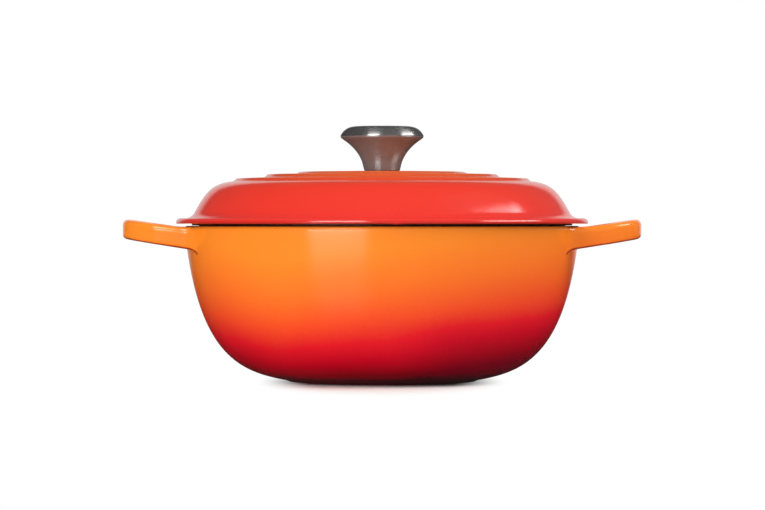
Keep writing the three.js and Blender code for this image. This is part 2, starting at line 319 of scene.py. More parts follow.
def ring_faces(rows, columns, closed_rows=False):
    """Quads between the points of a grid whose columns run round and close; its rows may close as well."""
    row = np.arange(rows if closed_rows else rows - 1)[:, None]
    column = np.arange(columns)[None, :]
    above = (row + 1) % rows
    beside = (column + 1) % columns
    here = row * columns
    there = above * columns
    corners = [here + column, here + beside, there + beside, there + column]
    return np.stack(corners, axis=-1).reshape(-1, 4)


def turned(stretches, segments):
    """Surface of revolution: the outline's point (r, z) at angle a is (r cos a, r sin a, z).

    The outline comes in stretches, each with its own finish, and runs with the solid on its left. It starts
    and ends on the axis, where a fan of triangles closes it, or it closes on itself.
    """
    outline = np.vstack(stretches)
    finish = np.repeat(np.arange(len(stretches)), [len(stretch) for stretch in stretches])
    fresh = np.append(True, np.linalg.norm(np.diff(outline, axis=0), axis=1) > SAME_PLACE)
    outline, finish = outline[fresh], finish[fresh]
    on_axis = outline[:, 0] < SAME_PLACE
    closed = not on_axis.any()
    if closed and np.linalg.norm(outline[0] - outline[-1]) < SAME_PLACE:
        outline, finish, on_axis = outline[:-1], finish[:-1], on_axis[:-1]
    rings, ring_finish = outline[~on_axis], finish[~on_axis]
    angle = np.linspace(0, 2 * np.pi, segments, endpoint=False)
    radius = rings[:, :1]
    height = np.repeat(rings[:, 1:], segments, axis=1)
    points = np.stack([radius * np.cos(angle), radius * np.sin(angle), height], axis=-1).reshape(-1, 3)
    faces = ring_faces(len(rings), segments, closed).tolist()
    zones = np.repeat(ring_finish if closed else ring_finish[:-1], segments)
    if not closed:
        pole = len(points)
        around = np.arange(segments)
        beside = (around + 1) % segments
        last_ring = pole - segments
        bottom = np.stack([np.full(segments, pole), beside, around], axis=1)
        top = np.stack([last_ring + around, last_ring + beside, np.full(segments, pole + 1)], axis=1)
        points = np.vstack([points, [[0, 0, outline[0, 1]], [0, 0, outline[-1, 1]]]])
        faces = faces + bottom.tolist() + top.tolist()
        zones = np.append(zones, np.repeat([ring_finish[0], ring_finish[-1]], segments))
    return points, faces, zones


def tube_faces(rings, section):
    """Quads of a tube of rings, with one flat face at each end."""
    last = (rings - 1) * section
    ends = [list(range(section))[::-1], list(range(last, last + section))]
    return ring_faces(rings, section).tolist() + ends


def add_piece(name, points, faces, finishes, body, nodes, zones=None, edge=None):
    """Puts a surface into the scene as a smooth mesh, with its finishes, and ties it to the frame."""
    mesh = bpy.data.meshes.new(name)
    mesh.from_pydata((points * MM).tolist(), [], faces)
    mesh.polygons.foreach_set("use_smooth", np.ones(len(faces), bool))
    for finish in finishes:
        mesh.materials.append(finish)
    if zones is not None:
        mesh.polygons.foreach_set("material_index", zones.astype(np.int32))
    if edge is not None:
        mesh.attributes.new("edge", "FLOAT", "POINT").data.foreach_set("value", edge.astype(np.float32))
    mesh.update()
    made = bpy.data.objects.new(name, mesh)
    bpy.context.scene.collection.objects.link(made)
    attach(made, body)
    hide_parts(*nodes)


# Finishes

# Fade of the bowl, in metres: how it leans, drifts and is sprayed, and its spreads over x and over height.
# The lean is partly the spray's own and partly painted shade. The spreads over x and height are painted shade
# where the light falls off at the far left, at the right and low down on the right.
FADE_LEAN_AND_SHADE = 0.11
FADE_DRIFT = 0.010
FADE_SPRAY = 0.004
FAR_LEFT_SHADE = (-0.125, -0.06, 0.015, 0.0)
RIGHT_SHADE = (0.0, 0.1, 0.0, 0.003)
LOWER_RIGHT_SHADE = (0.0, 0.05, 0.0, 0.005)
LOWER_RIGHT_SHADE_HEIGHTS = (0.030, 0.055, 1.0, 0.0)
LID_DRIFT = 0.004
LID_SPRAY = 0.002
SPECK_SHARE = 0.35
SPECK_EDGE = (0.62, 0.72, 0.0, 1.0)
SMUDGE_TINT = 0.88
GLASS_IOR = 1.52


class Signal:
    """One output of a shader node. Arithmetic on it adds Math nodes to the same tree."""

    def __init__(self, shader, socket):
        self.shader = shader
        self.socket = socket

    def math(self, operation, first, second):
        return self.shader.node("Math", {"operation": operation}, {0: first, 1: second})

    def __add__(self, other):
        return self.math("ADD", self, other)

    def __sub__(self, other):
        return self.math("SUBTRACT", self, other)

    def __rsub__(self, other):
        return self.math("SUBTRACT", other, self)

    def __mul__(self, other):
        return self.math("MULTIPLY", self, other)

    def __pow__(self, other):
        return self.math("POWER", self, other)

    __radd__ = __add__
    __rmul__ = __mul__


class Shader:
    """A node tree being written, of a material or of the world."""

    def __init__(self, owner):
        owner.use_nodes = True
        self.tree = owner.node_tree
        self.tree.nodes.clear()

    def node(self, kind, settings, sockets, output=0):
        """Adds a node: its settings first, a ramp's stops among them, then its sockets' values or links."""
        made = self.tree.nodes.new("ShaderNode" + kind)
        for name, value in settings.items():
            if name == "stops":
                set_stops(made.color_ramp, value)
            else:
                setattr(made, name, value)
        for key, value in sockets.items():
            if isinstance(value, Signal):
                self.tree.links.new(value.socket, made.inputs[key])
            else:
                made.inputs[key].default_value = value
        return Signal(self, made.outputs[output]) if made.outputs else None

    def place(self):
        return self.node("TexCoord", {}, {}, "Object")

    def axis(self, vector, name):
        return self.node("SeparateXYZ", {}, {0: vector}, name)

    def ray(self, kind):
        return self.node("LightPath", {}, {}, "Is " + kind + " Ray")

    def noise(self, vector, scale, detail):
        return self.node("TexNoise", {}, {"Vector": vector, "Scale": scale, "Detail": detail})

    def ramp(self, value, stops):
        return self.node("ValToRGB", {"stops": stops}, {0: value})

    def mix(self, share, first, second):
        return self.node("Mix", {"data_type": "RGBA"}, {0: share, 6: first, 7: second}, 2)

    def spread(self, value, low, high, start, end):
        """A value that goes smoothly from start to end as another goes from low to high."""
        settings = {"interpolation_type": "SMOOTHSTEP"}
        return self.node("MapRange", settings, {0: value, 1: low, 2: high, 3: start, 4: end})

    def bump(self, height, strength, distance):
        return self.node("Bump", {}, {"Height": height, "Strength": strength, "Distance": distance})

    def surface(self, sockets):
        shaded = self.node("BsdfPrincipled", {}, sockets)
        self.node("OutputMaterial", {}, {0: shaded})


def set_stops(ramp, stops):
    """Gives a colour ramp its stops, each a place from 0 to 1 and a colour."""
    ramp.elements.remove(ramp.elements[1])
    for index, (place, tone) in enumerate(stops):
        stop = ramp.elements.new(place) if index else ramp.elements[0]
        stop.position = place
        stop.color = tone


def colour(red, green, blue):
    """A colour in the usual steps of 0 to 255, as the linear values that shaders take."""
    share = np.array([red, green, blue]) / 255
    linear = np.where(share <= 0.04045, share / 12.92, ((share + 0.055) / 1.055) ** 2.4)
    return (*linear.tolist(), 1.0)


def new_finish(name):
    material = bpy.data.materials.new(name)
    return material, Shader(material)


def glaze(shader, place, tone, shine):
    """Fired enamel: a tone under glass, with a faint ripple, fine pits and a slightly uneven shine."""
    ripple = shader.noise(place, scale=110, detail=2)
    pits = shader.noise(place, scale=1400, detail=1)
    unevenness = shader.noise(place, scale=40, detail=3)
    shader.surface({
        "Base Color": tone,
        "Roughness": shine + 0.08 * (unevenness - 0.5),
        "IOR": GLASS_IOR,
        "Normal": shader.bump(ripple + 0.05 * pits, strength=0.16, distance=0.0006),
    })


def bowl_enamel():
    """Sprayed fade by height, from maroon at the foot through red to orange.

    The level is the height less a lean to the right and smooth steps in x, so that red climbs towards the
    right, most of all low down, and again at the far left. The lean is partly the spray's own and partly
    painted shade. The steps in x are painted shade where the light falls off towards the sides and low on the
    right. Noise lets it drift and gives it its spray.
    """
    material, shader = new_finish("bowl_enamel")
    place = shader.place()
    drift = shader.noise(place, scale=14, detail=2)
    spray = shader.noise(place, scale=420, detail=2)
    across = shader.axis(place, "X")
    height = shader.axis(place, "Z")
    # Painted shade: the lean and the steps in x darken the fade towards the far left, the right and low on
    # the right.
    level = height - FADE_LEAN_AND_SHADE * across - shader.spread(across, *FAR_LEFT_SHADE)
    level = level - shader.spread(across, *RIGHT_SHADE)
    level = level - shader.spread(across, *LOWER_RIGHT_SHADE) * shader.spread(height, *LOWER_RIGHT_SHADE_HEIGHTS)
    level = level + FADE_DRIFT * (drift - 0.5) + FADE_SPRAY * (spray - 0.5)
    fade = shader.ramp(level * (1 / (rim_height * MM)), [
        (0.00, colour(140, 0, 30)),
        (0.07, colour(172, 0, 26)),
        (0.18, colour(212, 0, 34)),
        (0.29, colour(236, 22, 37)),
        (0.43, colour(250, 78, 34)),
        (0.60, colour(253, 113, 34)),
        (0.86, colour(255, 138, 36)),
    ])
    # The handles' edge attribute: a dark red underside, partly the spray and thin enamel, partly painted
    # shade under the arms and at their roots.
    edge = shader.node("Attribute", {"attribute_name": "edge"}, {}, "Fac")
    tone = shader.mix(edge, fade, colour(150, 22, 10))
    glaze(shader, place, tone, shine=0.18)
    return material


def lid_enamel():
    """Red on the flange and wall, fading to orange over the shoulder and the stepped crown."""
    material, shader = new_finish("lid_enamel")
    place = shader.place()
    drift = shader.noise(place, scale=16, detail=2)
    spray = shader.noise(place, scale=420, detail=2)
    level = shader.axis(place, "Z") + LID_DRIFT * (drift - 0.5) + LID_SPRAY * (spray - 0.5)
    low = rim_height * MM
    high = knob_seat * MM
    fade = shader.ramp((level - low) * (1 / (high - low)), [
        (0.00, colour(226, 48, 42)),
        (0.30, colour(229, 56, 44)),
        (0.70, colour(226, 54, 37)),
        (0.84, colour(216, 74, 38)),
        (1.00, colour(212, 97, 44)),
    ])
    edge = shader.node("Attribute", {"attribute_name": "edge"}, {}, "Fac")
    tone = shader.mix(FLANGE_SHADE * edge, fade, colour(170, 24, 18))
    glaze(shader, place, tone, shine=0.13)
    return material


def sand_enamel():
    """Pale cooking surface inside the bowl and the lid, with a faint speckle."""
    material, shader = new_finish("sand_enamel")
    place = shader.place()
    speck = shader.spread(shader.noise(place, scale=900, detail=2), *SPECK_EDGE)
    cloud = shader.noise(place, scale=18, detail=3)
    base = shader.mix(cloud, colour(224, 208, 178), colour(214, 195, 162))
    tone = shader.mix(SPECK_SHARE * speck, base, colour(170, 146, 112))
    glaze(shader, place, tone, shine=0.2)
    return material


def rim_enamel():
    """Matt dark ground coat, left bare on the rim and on the seat of the lid."""
    material, shader = new_finish("rim_enamel")
    place = shader.place()
    grain = shader.noise(place, scale=1800, detail=3)
    cloud = shader.noise(place, scale=60, detail=2)
    tone = shader.mix(cloud, colour(96, 44, 30), colour(118, 56, 38))
    shader.surface({
        "Base Color": tone,
        "Roughness": 0.5 + 0.2 * (grain - 0.5),
        "Normal": shader.bump(grain, strength=0.3, distance=0.0002),
    })
    return material


def steel(name, tone, shine, ring_scale, clearness):
    """Steel with the fine rings of a lathe: noise that changes with radius and height, not with the turn."""
    material, shader = new_finish(name)
    place = shader.place()
    across = shader.axis(place, "X")
    along = shader.axis(place, "Y")
    radius = (across * across + along * along) ** 0.5
    spin = shader.node("CombineXYZ", {}, {"X": radius, "Y": shader.axis(place, "Z"), "Z": 0.0})
    rings = shader.noise(spin, ring_scale, detail=3)
    smudge = shader.noise(place, scale=70, detail=3)
    smudged = (*[SMUDGE_TINT * part for part in tone[:3]], 1.0)
    shader.surface({
        "Base Color": shader.mix(smudge, tone, smudged),
        "Metallic": clearness,
        "Specular IOR Level": 0.0,
        "Specular Tint": (0.15, 0.15, 0.15, 1.0),
        "Anisotropic": 0.9,
        "Anisotropic Rotation": 0.25,
        "Roughness": shine + 0.10 * (rings - 0.5) + 0.06 * (smudge - 0.5),
        "Normal": shader.bump(rings, strength=0.05, distance=0.0002),
    })
    return material


flame = bowl_enamel()
lid_flame = lid_enamel()
sand = sand_enamel()
ground = rim_enamel()
spun_steel = steel("spun_steel", colour(176, 175, 174), shine=0.26, ring_scale=1500, clearness=0.9)
hazy_steel = steel("hazy_steel", colour(162, 170, 173), shine=0.25, ring_scale=1500, clearness=0.63)
plated_steel = steel("plated_steel", colour(186, 188, 190), shine=0.3, ring_scale=2500, clearness=0.9)


# Bowl

belly = bend(
    (FOOT_RADIUS, FOOT_HEIGHT), FOOT_ANGLE, FOOT_PULL,
    (rim_radius, rim_height - RIM_ROLL), 90 - RIM_ANGLE, RIM_PULL, 2 * CURVE_STEPS)


def wall_radius(height):
    """Outer radius of the bowl's wall at a height."""
    return np.interp(height, belly[:, 1], belly[:, 0])


def make_bowl():
    """The shell, turned: foot and belly outside, a flat rim, and a bead that runs into the wall's inside.

    The inside is the belly's curve set in by the wall.
    """
    foot = rounded([
        (0, RECESS_DEPTH),
        (RECESS_RADIUS, RECESS_DEPTH),
        (RECESS_RADIUS + 2 * RECESS_DEPTH, 0),
        (FOOT_RADIUS - FOOT_CHAMFER, 0),
        (FOOT_RADIUS, FOOT_HEIGHT),
    ], [FOOT_EDGE, FOOT_EDGE, FOOT_EDGE])
    top = rim_height - RIM_EDGE
    outer_edge = bend(
        belly[-1], 90 - RIM_ANGLE, RIM_ROLL_PULL * RIM_ROLL,
        (rim_radius - RIM_ROLL_IN, rim_height), 180, RIM_TOP_PULL * RIM_ROLL_IN, 2 * ARC_STEPS)
    glazed = outer_edge[outer_edge[:, 1] < rim_height - RIM_BARE]
    bare = outer_edge[len(glazed) - 1:]
    inner_edge = arc((rim_inner + RIM_EDGE, top), RIM_EDGE, RIM_EDGE, 90, 180)
    lining = inset(belly, POT_WALL)[::-1]
    lining = lining[lining[:, 1] < rim_height - BEAD_DEPTH]
    bead = bend(
        (rim_inner, top - BEAD_STRAIGHT), -90, BEAD_STRAIGHT,
        lining[0], -90 - RIM_ANGLE, BEAD_STRAIGHT, 2 * ARC_STEPS)
    floor = np.array([lining[-1], (0, lining[-1, 1])])
    stretches = [
        divided(np.vstack([foot, belly[1:], glazed[1:]])),
        divided(np.vstack([bare, inner_edge])),
        divided(np.vstack([inner_edge[-1:], bead, lining[1:], floor[1:]])),
    ]
    points, faces, zones = turned(stretches, AROUND_POT)
    add_piece(
        "bowl_shell", points, faces, [flame, ground, sand], "pot", ["pot_body"], zones)


# Handles

def fillet(distance, radius):
    """How far a quarter round stands out at a distance from the wall it runs into: r - sqrt(r^2 - (r - d)^2).

    Behind the wall it spreads on, nearly along the wall, so that its shading meets the wall's.
    """
    gap = np.clip(radius - distance, 0, radius)
    return radius - np.sqrt(radius**2 - gap**2) + ROOT_SPREAD * np.clip(-distance / ROOT_SINK, 0, 1)


def bar_section():
    """Rounded rectangle from the middle of the outer side down and round, as shares of its half sizes."""
    half = np.array([BAR_WIDTH, HANDLE_THICK]) / 2
    corners = np.array([(1, 0), (1, -1), (-1, -1), (-1, 1), (1, 1), (1, 0)]) * half
    edges = [BAR_LOWER_EDGE, BAR_LOWER_EDGE, BAR_TOP_EDGE, BAR_TOP_EDGE]
    return evenly(rounded(corners, edges, 4 * ARC_STEPS), BAR_POINTS + 1)[:-1] / half


def handle_path():
    """Centre line of the loop from above: two straight arms joined by half of a rounded rectangle."""
    bow_length = handle_reach - BAR_WIDTH / 2 - ARM_START
    bow = oblong(bow_length, HANDLE_HALF_WIDTH - ARM_WIDTH / 2, HANDLE_SQUARENESS, -90, 90, FINE_STEPS)
    bow = bow + np.array([ARM_START, 0])
    arm = np.array([[ARM_START - 2 * BAR_WIDTH, bow[0, 1]]])
    return evenly(np.vstack([arm, bow, arm * np.array([1, -1])]), PATH_POINTS)


def handle_rings(path, rise):
    """Places along the path: close together where the roots round into the wall, then even round the loop."""
    length = np.append(0, np.cumsum(np.linalg.norm(np.diff(path, axis=0), axis=1)))
    mid = rim_height - HANDLE_DROP + rise * (path[:, 0] - rim_radius)
    distance = np.hypot(path[:, 0], path[:, 1]) - wall_radius(mid)
    half = len(path) // 2
    wall = np.interp(0, distance[:half], length[:half])
    root = ROOT_REACH * ROOT_OUTSIDE * (1 - np.cos(np.radians(np.linspace(0, 90, ROOT_RINGS))))
    start = np.append(-ROOT_SINK, root) + wall
    loop = np.linspace(start[-1], length[-1] - start[-1], LOOP_RINGS)[1:-1]
    places = np.concatenate([start, loop, (length[-1] - start)[::-1]])
    return np.interp(places, length, np.arange(len(path)))


def make_handle(name, side):
    """A rounded bar carried along the loop, that climbs away from the wall and rounds into it at both roots.

    At arc length s the section is a rounded rectangle in the path's normal and in height. Near the wall each
    half of it grows by its own fillet, and its points shift radially until they all stand as far from the
    wall as its centre does, so that the root follows the curve of the bowl.
    """
    path = handle_path()
    rise = np.tan(np.radians(HANDLE_TILT))
    place = handle_rings(path, rise)
    spots = np.arange(len(path))
    along = np.gradient(path, axis=0)
    along /= np.linalg.norm(along, axis=1, keepdims=True)
    centre = np.stack([np.interp(place, spots, path[:, axis]) for axis in (0, 1)], axis=1)
    across = np.stack([np.interp(place, spots, along[:, 1]), -np.interp(place, spots, along[:, 0])], axis=1)
    mid = rim_height - HANDLE_DROP + rise * (centre[:, :1] - rim_radius)
    distance = np.hypot(centre[:, :1], centre[:, 1:]) - wall_radius(mid)

    section = bar_section()
    sideways, upward = section[None, :, 0], section[None, :, 1]
    half_width = (ARM_WIDTH + (BAR_WIDTH - ARM_WIDTH) * across[:, :1] ** 2) / 2
    shortfall = ROOT_TOP_LEVEL - (mid + HANDLE_THICK / 2)
    lift = (shortfall + np.hypot(shortfall, ROOT_TOP_SOFTNESS)) / 2
    outside = half_width + fillet(distance, ROOT_OUTSIDE)
    inside = half_width + fillet(distance, ROOT_INSIDE)
    under = smooth(sideways, ROOT_BELOW_START, ROOT_BELOW_FULL)
    below = HANDLE_THICK / 2 + fillet(distance, ROOT_BELOW) * under
    draft = ARM_DRAFT * (1 - across[:, :1] ** 2)
    offset = np.where(sideways > 0, outside, inside) * sideways
    offset = offset - half_width * draft * (1 - upward) * sideways
    x = centre[:, :1] + offset * across[:, :1]
    y = centre[:, 1:] + offset * across[:, 1:]
    z = mid + rise * (x - centre[:, :1]) + np.where(upward > 0, HANDLE_THICK / 2 + lift, below) * upward

    reach = np.hypot(x, y)
    hold = 1 - smooth(distance, ROOT_OUTSIDE, ROOT_FADE)
    scale = 1 + hold * (distance - (reach - wall_radius(z))) / reach
    points = side * np.stack([x * scale, y * scale, side * z], axis=-1).reshape(-1, 3)
    # Dark red underside: partly the spray and thin enamel, partly painted shade under the arm and in the
    # crease at its root.
    edge = UNDER_SHADE * smooth(-upward, UNDER_SHADE_START, UNDER_SHADE_FULL) + 0 * distance
    faces = tube_faces(len(centre), len(section))
    add_piece(
        name, points, faces, [flame], "pot", ["pot_body"], edge=edge.reshape(-1))


# Lid

def make_lid():
    """The lid, turned: pale dome inside, dark seat and lip, and outside flange, wall and stepped crown.

    At the front a drip lowers the flange's edge by a bell curve in x.
    """
    flange_bottom = rim_height + FLANGE_LIFT
    flange_top = flange_bottom + FLANGE_THICK
    lip_outer = rim_inner - LIP_CLEARANCE
    lip_inner = lip_outer - LIP_THICK
    seat_radius = rim_inner + SEAT_OVERLAP
    seat_bottom = rim_height + SEAT_GAP
    collar_radius = rim_radius - COLLAR_INSET
    shoulder_top = flange_top + SHOULDER_HEIGHT
    shoulder = bend(
        (collar_radius, flange_top + COLLAR_HEIGHT), 90 + COLLAR_SLOPE, COLLAR_PULL,
        (collar_radius - RINGS[0][0], shoulder_top), 180 - SHOULDER_SLOPE, SHOULDER_PULL, CURVE_STEPS // 2)

    lining = inset(shoulder, LID_WALL)[::-1]
    dome = bend(
        (BOSS_RADIUS, lid_underside), 0, collar_radius / 4, lining[0], -SHOULDER_SLOPE, collar_radius / 4)
    inside = np.vstack([[(HOLE_RADIUS, lid_underside)], dome, lining[1:], [(lip_inner, flange_top)]])
    seat = rounded([
        (lip_inner, flange_top),
        (lip_inner, lip_bottom),
        (lip_outer, lip_bottom),
        (lip_outer, seat_bottom),
        (seat_radius, seat_bottom),
        (seat_radius, flange_bottom),
        (flange_radius - FLANGE_THICK, flange_bottom),
    ], [LIP_EDGE, LIP_EDGE, LIP_EDGE / 2, LIP_EDGE / 3, LIP_EDGE / 2])

    lower_edge = FLANGE_LOWER_EDGE
    rim_corner = (flange_radius - lower_edge, flange_bottom + lower_edge)
    top_corner = (flange_radius - FLANGE_EDGE, flange_top - FLANGE_EDGE)
    collar_foot = collar_radius + COLLAR_HEIGHT * np.tan(np.radians(COLLAR_SLOPE))
    collar = rounded(
        [(flange_radius - FLANGE_EDGE, flange_top), (collar_foot, flange_top), shoulder[0]],
        [COLLAR_FILLET], 3 * ARC_STEPS)
    radius = collar_radius
    height = shoulder_top
    steps = [shoulder[-2]]
    for band, step, slope in RINGS:
        radius = radius - band
        steps += [(radius, height), (radius - RING_RUN, height + step)]
        height = height + step + slope
    steps += [(BOSS_RADIUS, knob_seat), (HOLE_RADIUS, knob_seat)]
    crown = rounded(steps, [RING_FOOT, RING_EDGE] * len(RINGS) + [RING_EDGE])
    outside = np.vstack([
        seat[-1:],
        arc(rim_corner, lower_edge, lower_edge, -90, 0),
        arc(top_corner, FLANGE_EDGE, FLANGE_EDGE, 0, 90, 2 * ARC_STEPS),
        collar, shoulder[1:-1], crown[1:],
    ])
    hole = np.array([(HOLE_RADIUS, knob_seat), (HOLE_RADIUS, lid_underside)])
    points, faces, zones = turned([divided(inside), divided(seat), divided(outside), hole], AROUND_POT)

    reach = np.hypot(points[:, 0], points[:, 1])
    outer = smooth(reach, flange_radius - FLANGE_SHADE_WIDTH, flange_radius - FLANGE_SHADE_FULL)
    level = (points[:, 2] - flange_bottom) / FLANGE_THICK
    low_edge = outer * (1 - smooth(level, FLANGE_SHADE_LOW, FLANGE_SHADE_HIGH))
    drip = np.exp(-((points[:, 0] - DRIP_PLACE) / DRIP_HALF_WIDTH) ** 2) * (points[:, 1] < 0)
    points[:, 2] -= DRIP_DROP * drip * low_edge
    finishes = [sand, ground, lid_flame, lid_flame]
    add_piece(
        "lid_casting", points, faces, finishes, "lid", ["lid"], zones, edge=low_edge)


# Knob

def make_stem():
    """Flared shell, turned: a flat base, a trumpet curve outside and the same curve set in by the wall."""
    brim_start = (knob_radius - BRIM_RUN, knob_seam - BRIM_RISE)
    flare = bend(
        (STEM_RADIUS, knob_seat + STEM_EDGE), 90 - STEM_DRAFT, STEM_PULL, brim_start, FLARE_ANGLE, FLARE_PULL)
    brim = bend(
        brim_start, FLARE_ANGLE, BRIM_RUN / 2,
        (knob_radius, knob_seam - SEAM_EDGE), 90, BRIM_RISE / 3, BRIM_STEPS)
    neck = BUSH_NECK_RADIUS + FIT_GAP
    floor = knob_seat + STEM_FLOOR
    base = rounded([
        (neck, floor),
        (neck, knob_seat),
        (STEM_RADIUS - STEM_EDGE / 4, knob_seat),
        flare[STEM_BASE_JOIN],
    ], [SMALL_EDGE, STEM_BASE_EDGE])
    rim = rounded([
        brim[-1],
        (knob_radius, knob_seam),
        (knob_radius - STEM_WALL, knob_seam),
        (knob_radius - STEM_WALL - BRIM_RUN, knob_seam - BRIM_RISE),
    ], [SEAM_EDGE, SEAM_EDGE])
    lining = inset(flare, STEM_WALL)[::-1]
    lining = lining[lining[:, 1] > floor + SMALL_EDGE]
    lining = lining[lining[:, 1] < rim[-1, 1]]
    inside = np.vstack([lining, [(lining[-1, 0], floor), (neck, floor)]])
    outside = np.vstack([base[:-1], flare[STEM_BASE_JOIN + 1:], brim[1:], rim[1:]])
    outline = divided(np.vstack([outside, inside]), KNOB_STEP)
    points, faces, _ = turned([outline], AROUND_KNOB)
    add_piece("knob_trumpet", points, faces, [hazy_steel], "knob", ["knob_stem"])


def make_cap():
    """Domed disc, turned: a rolled edge at the seam, a rounded slope, a shallow dish and a skirt inside."""
    lean = 180 - CAP_SLOPE
    rolled = knob_radius - CAP_EDGE + CAP_EDGE * np.cos(np.radians(90 - CAP_SLOPE))
    rolled_top = knob_seam + SEAM_EDGE / 2 + CAP_EDGE * np.sin(np.radians(90 - CAP_SLOPE))
    edge = arc((knob_radius - CAP_EDGE, knob_seam + SEAM_EDGE / 2), CAP_EDGE, CAP_EDGE, 0, 90 - CAP_SLOPE)
    slope = bend(
        (rolled, rolled_top), lean, CAP_SIDE_PULL, (CAP_FLAT_RADIUS, cap_top), 180, CAP_TOP_PULL)
    dome = np.vstack([edge, slope[1:]])
    run = np.linspace(0, 1, 2 * ARC_STEPS)
    dish = np.stack([
        CAP_FLAT_RADIUS - CAP_DISH_RUN * run,
        cap_top - CAP_DISH * (1 - np.cos(np.pi * run)) / 2,
    ], axis=1)
    skirt = knob_radius - BRIM_RUN - STEM_WALL
    under = cap_top - CAP_DISH - CAP_WALL
    lower = rounded([
        (0, under),
        (CAP_FLAT_RADIUS, under),
        (skirt - CAP_WALL, knob_seam),
        (skirt - CAP_WALL, cap_bottom),
        (skirt, cap_bottom),
        (skirt, knob_seam),
        (dome[0, 0] - SEAM_EDGE / 4, knob_seam),
        dome[0],
    ], [CAP_LINING_EDGE, CAP_SKIRT_EDGE, SMALL_EDGE, SMALL_EDGE, SMALL_EDGE, SEAM_EDGE / 3])
    outline = np.vstack([lower, dome[1:], dish[1:], [(0, cap_top - CAP_DISH)]])
    points, faces, _ = turned([divided(outline, KNOB_STEP)], AROUND_KNOB)
    add_piece("knob_dome", points, faces, [spun_steel], "knob", ["knob_cap"])


def make_bush():
    """Threaded bush in the stem, turned: a neck through the stem's floor and a wider barrel on it."""
    floor = knob_seat + STEM_FLOOR
    outline = rounded([
        (BORE_RADIUS, (knob_seat + bush_top) / 2),
        (BORE_RADIUS, knob_seat),
        (BUSH_NECK_RADIUS, knob_seat),
        (BUSH_NECK_RADIUS, floor),
        (bush_radius, floor),
        (bush_radius, bush_top),
        (BORE_RADIUS, bush_top),
        (BORE_RADIUS, (knob_seat + bush_top) / 2),
    ], [SMALL_EDGE] * 6, SMALL_ARC_STEPS)
    points, faces, _ = turned([divided(outline, SMALL_STEP)], AROUND_SMALL)
    add_piece(
        "knob_thread_bush", points, faces, [plated_steel], "knob", ["knob_bush"])


# Fastening

def thread_surface():
    """Shank with a right-hand thread: its radius follows a flat-topped wave of z / pitch - a / (2 pi)."""
    angle = np.linspace(0, 2 * np.pi, AROUND_SMALL, endpoint=False)
    start = head_top - SCREW_POINT
    height = np.arange(start, screw_tip, THREAD_PITCH / THREAD_ROWS)[:, None]
    phase = (height / THREAD_PITCH - angle / (2 * np.pi)) % 1
    wave = np.clip((1 + 2 * THREAD_FLAT) * np.abs(2 * phase - 1) - THREAD_FLAT, 0, 1)
    cut = smooth(height, head_top + THREAD_RUNOUT / 2, head_top + THREAD_RUNOUT)
    point = np.clip(screw_tip - height, 0, SCREW_POINT) - SCREW_POINT
    radius = SCREW_RADIUS + np.minimum(-THREAD_DEPTH * cut * (1 - wave), point)
    shank = np.stack([radius * np.cos(angle), radius * np.sin(angle), height + 0 * radius], axis=-1)
    return shank.reshape(-1, 3), tube_faces(len(height), AROUND_SMALL)


def head_surface():
    """Slotted head, carried along the slot: at each x a closed section across it, with lands, slot and top.

    The underside is rounded off at the rim, where its height follows a quarter circle of the crown's size.
    The sections end where the head is only a little wider than its slot.
    """
    limit = np.sqrt(head_radius**2 - HEAD_END**2)
    x = limit * np.sin(np.radians(np.linspace(-90, 90, HEAD_ROWS)))[:, None]
    half = np.sqrt(head_radius**2 - x**2)
    lip = SLOT_WIDTH / 2
    share = np.sin(np.radians(np.linspace(0, 90, LAND_STEPS)))[None, :]
    land = lip + (half - lip) * share
    wall = np.full_like(x, lip)
    near = np.hstack([wall, wall])
    lower = np.hstack([-land[:, ::-1], -near, near, land])
    inner = head_radius - HEAD_CROWN
    out = np.clip(np.hypot(x, lower) - inner, 0, HEAD_CROWN)
    crown = head_bottom + HEAD_CROWN - np.sqrt(HEAD_CROWN**2 - out**2)
    place = np.arange(lower.shape[1])[None, :]
    in_slot = (place > LAND_STEPS) & (place < lower.shape[1] - LAND_STEPS - 1)
    bottom = np.where(in_slot, head_bottom + SLOT_DEPTH, crown)
    loop_y = np.hstack([lower, lower[:, ::-1]])
    loop_z = np.hstack([bottom, np.full_like(lower, head_top)])
    points = np.stack([x + 0 * loop_y, loop_y, loop_z], axis=-1)
    count = loop_y.shape[1]
    column = np.arange(lower.shape[1] - 1)
    start_cap = np.stack([column, count - 1 - column, count - 2 - column, column + 1], axis=1)
    end_cap = start_cap[:, ::-1] + (len(x) - 1) * count
    faces = ring_faces(len(x), count).tolist() + start_cap.tolist() + end_cap.tolist()
    return points.reshape(-1, 3), faces


def make_screw():
    """Slotted screw: the threaded shank and its head, each closed, the shank sunk a little into the head."""
    shank, shank_faces = thread_surface()
    head, head_faces = head_surface()
    faces = shank_faces + [[corner + len(shank) for corner in face] for face in head_faces]
    add_piece(
        "knob_fixing_screw", np.vstack([shank, head]), faces, [plated_steel], "screw",
        ["knob_screw"])


def make_plain_washer():
    """Flat washer, turned from a rectangle with broken edges."""
    middle = (plain_bottom + lid_underside) / 2
    outline = rounded([
        (BORE_RADIUS, middle),
        (BORE_RADIUS, plain_bottom),
        (plain_radius, plain_bottom),
        (plain_radius, lid_underside),
        (BORE_RADIUS, lid_underside),
        (BORE_RADIUS, middle),
    ], [SMALL_EDGE] * 4, SMALL_ARC_STEPS)
    points, faces, _ = turned([divided(outline, SMALL_STEP)], AROUND_SMALL)
    add_piece("flat_washer", points, faces, [plated_steel], "lid", ["plain_washer"])


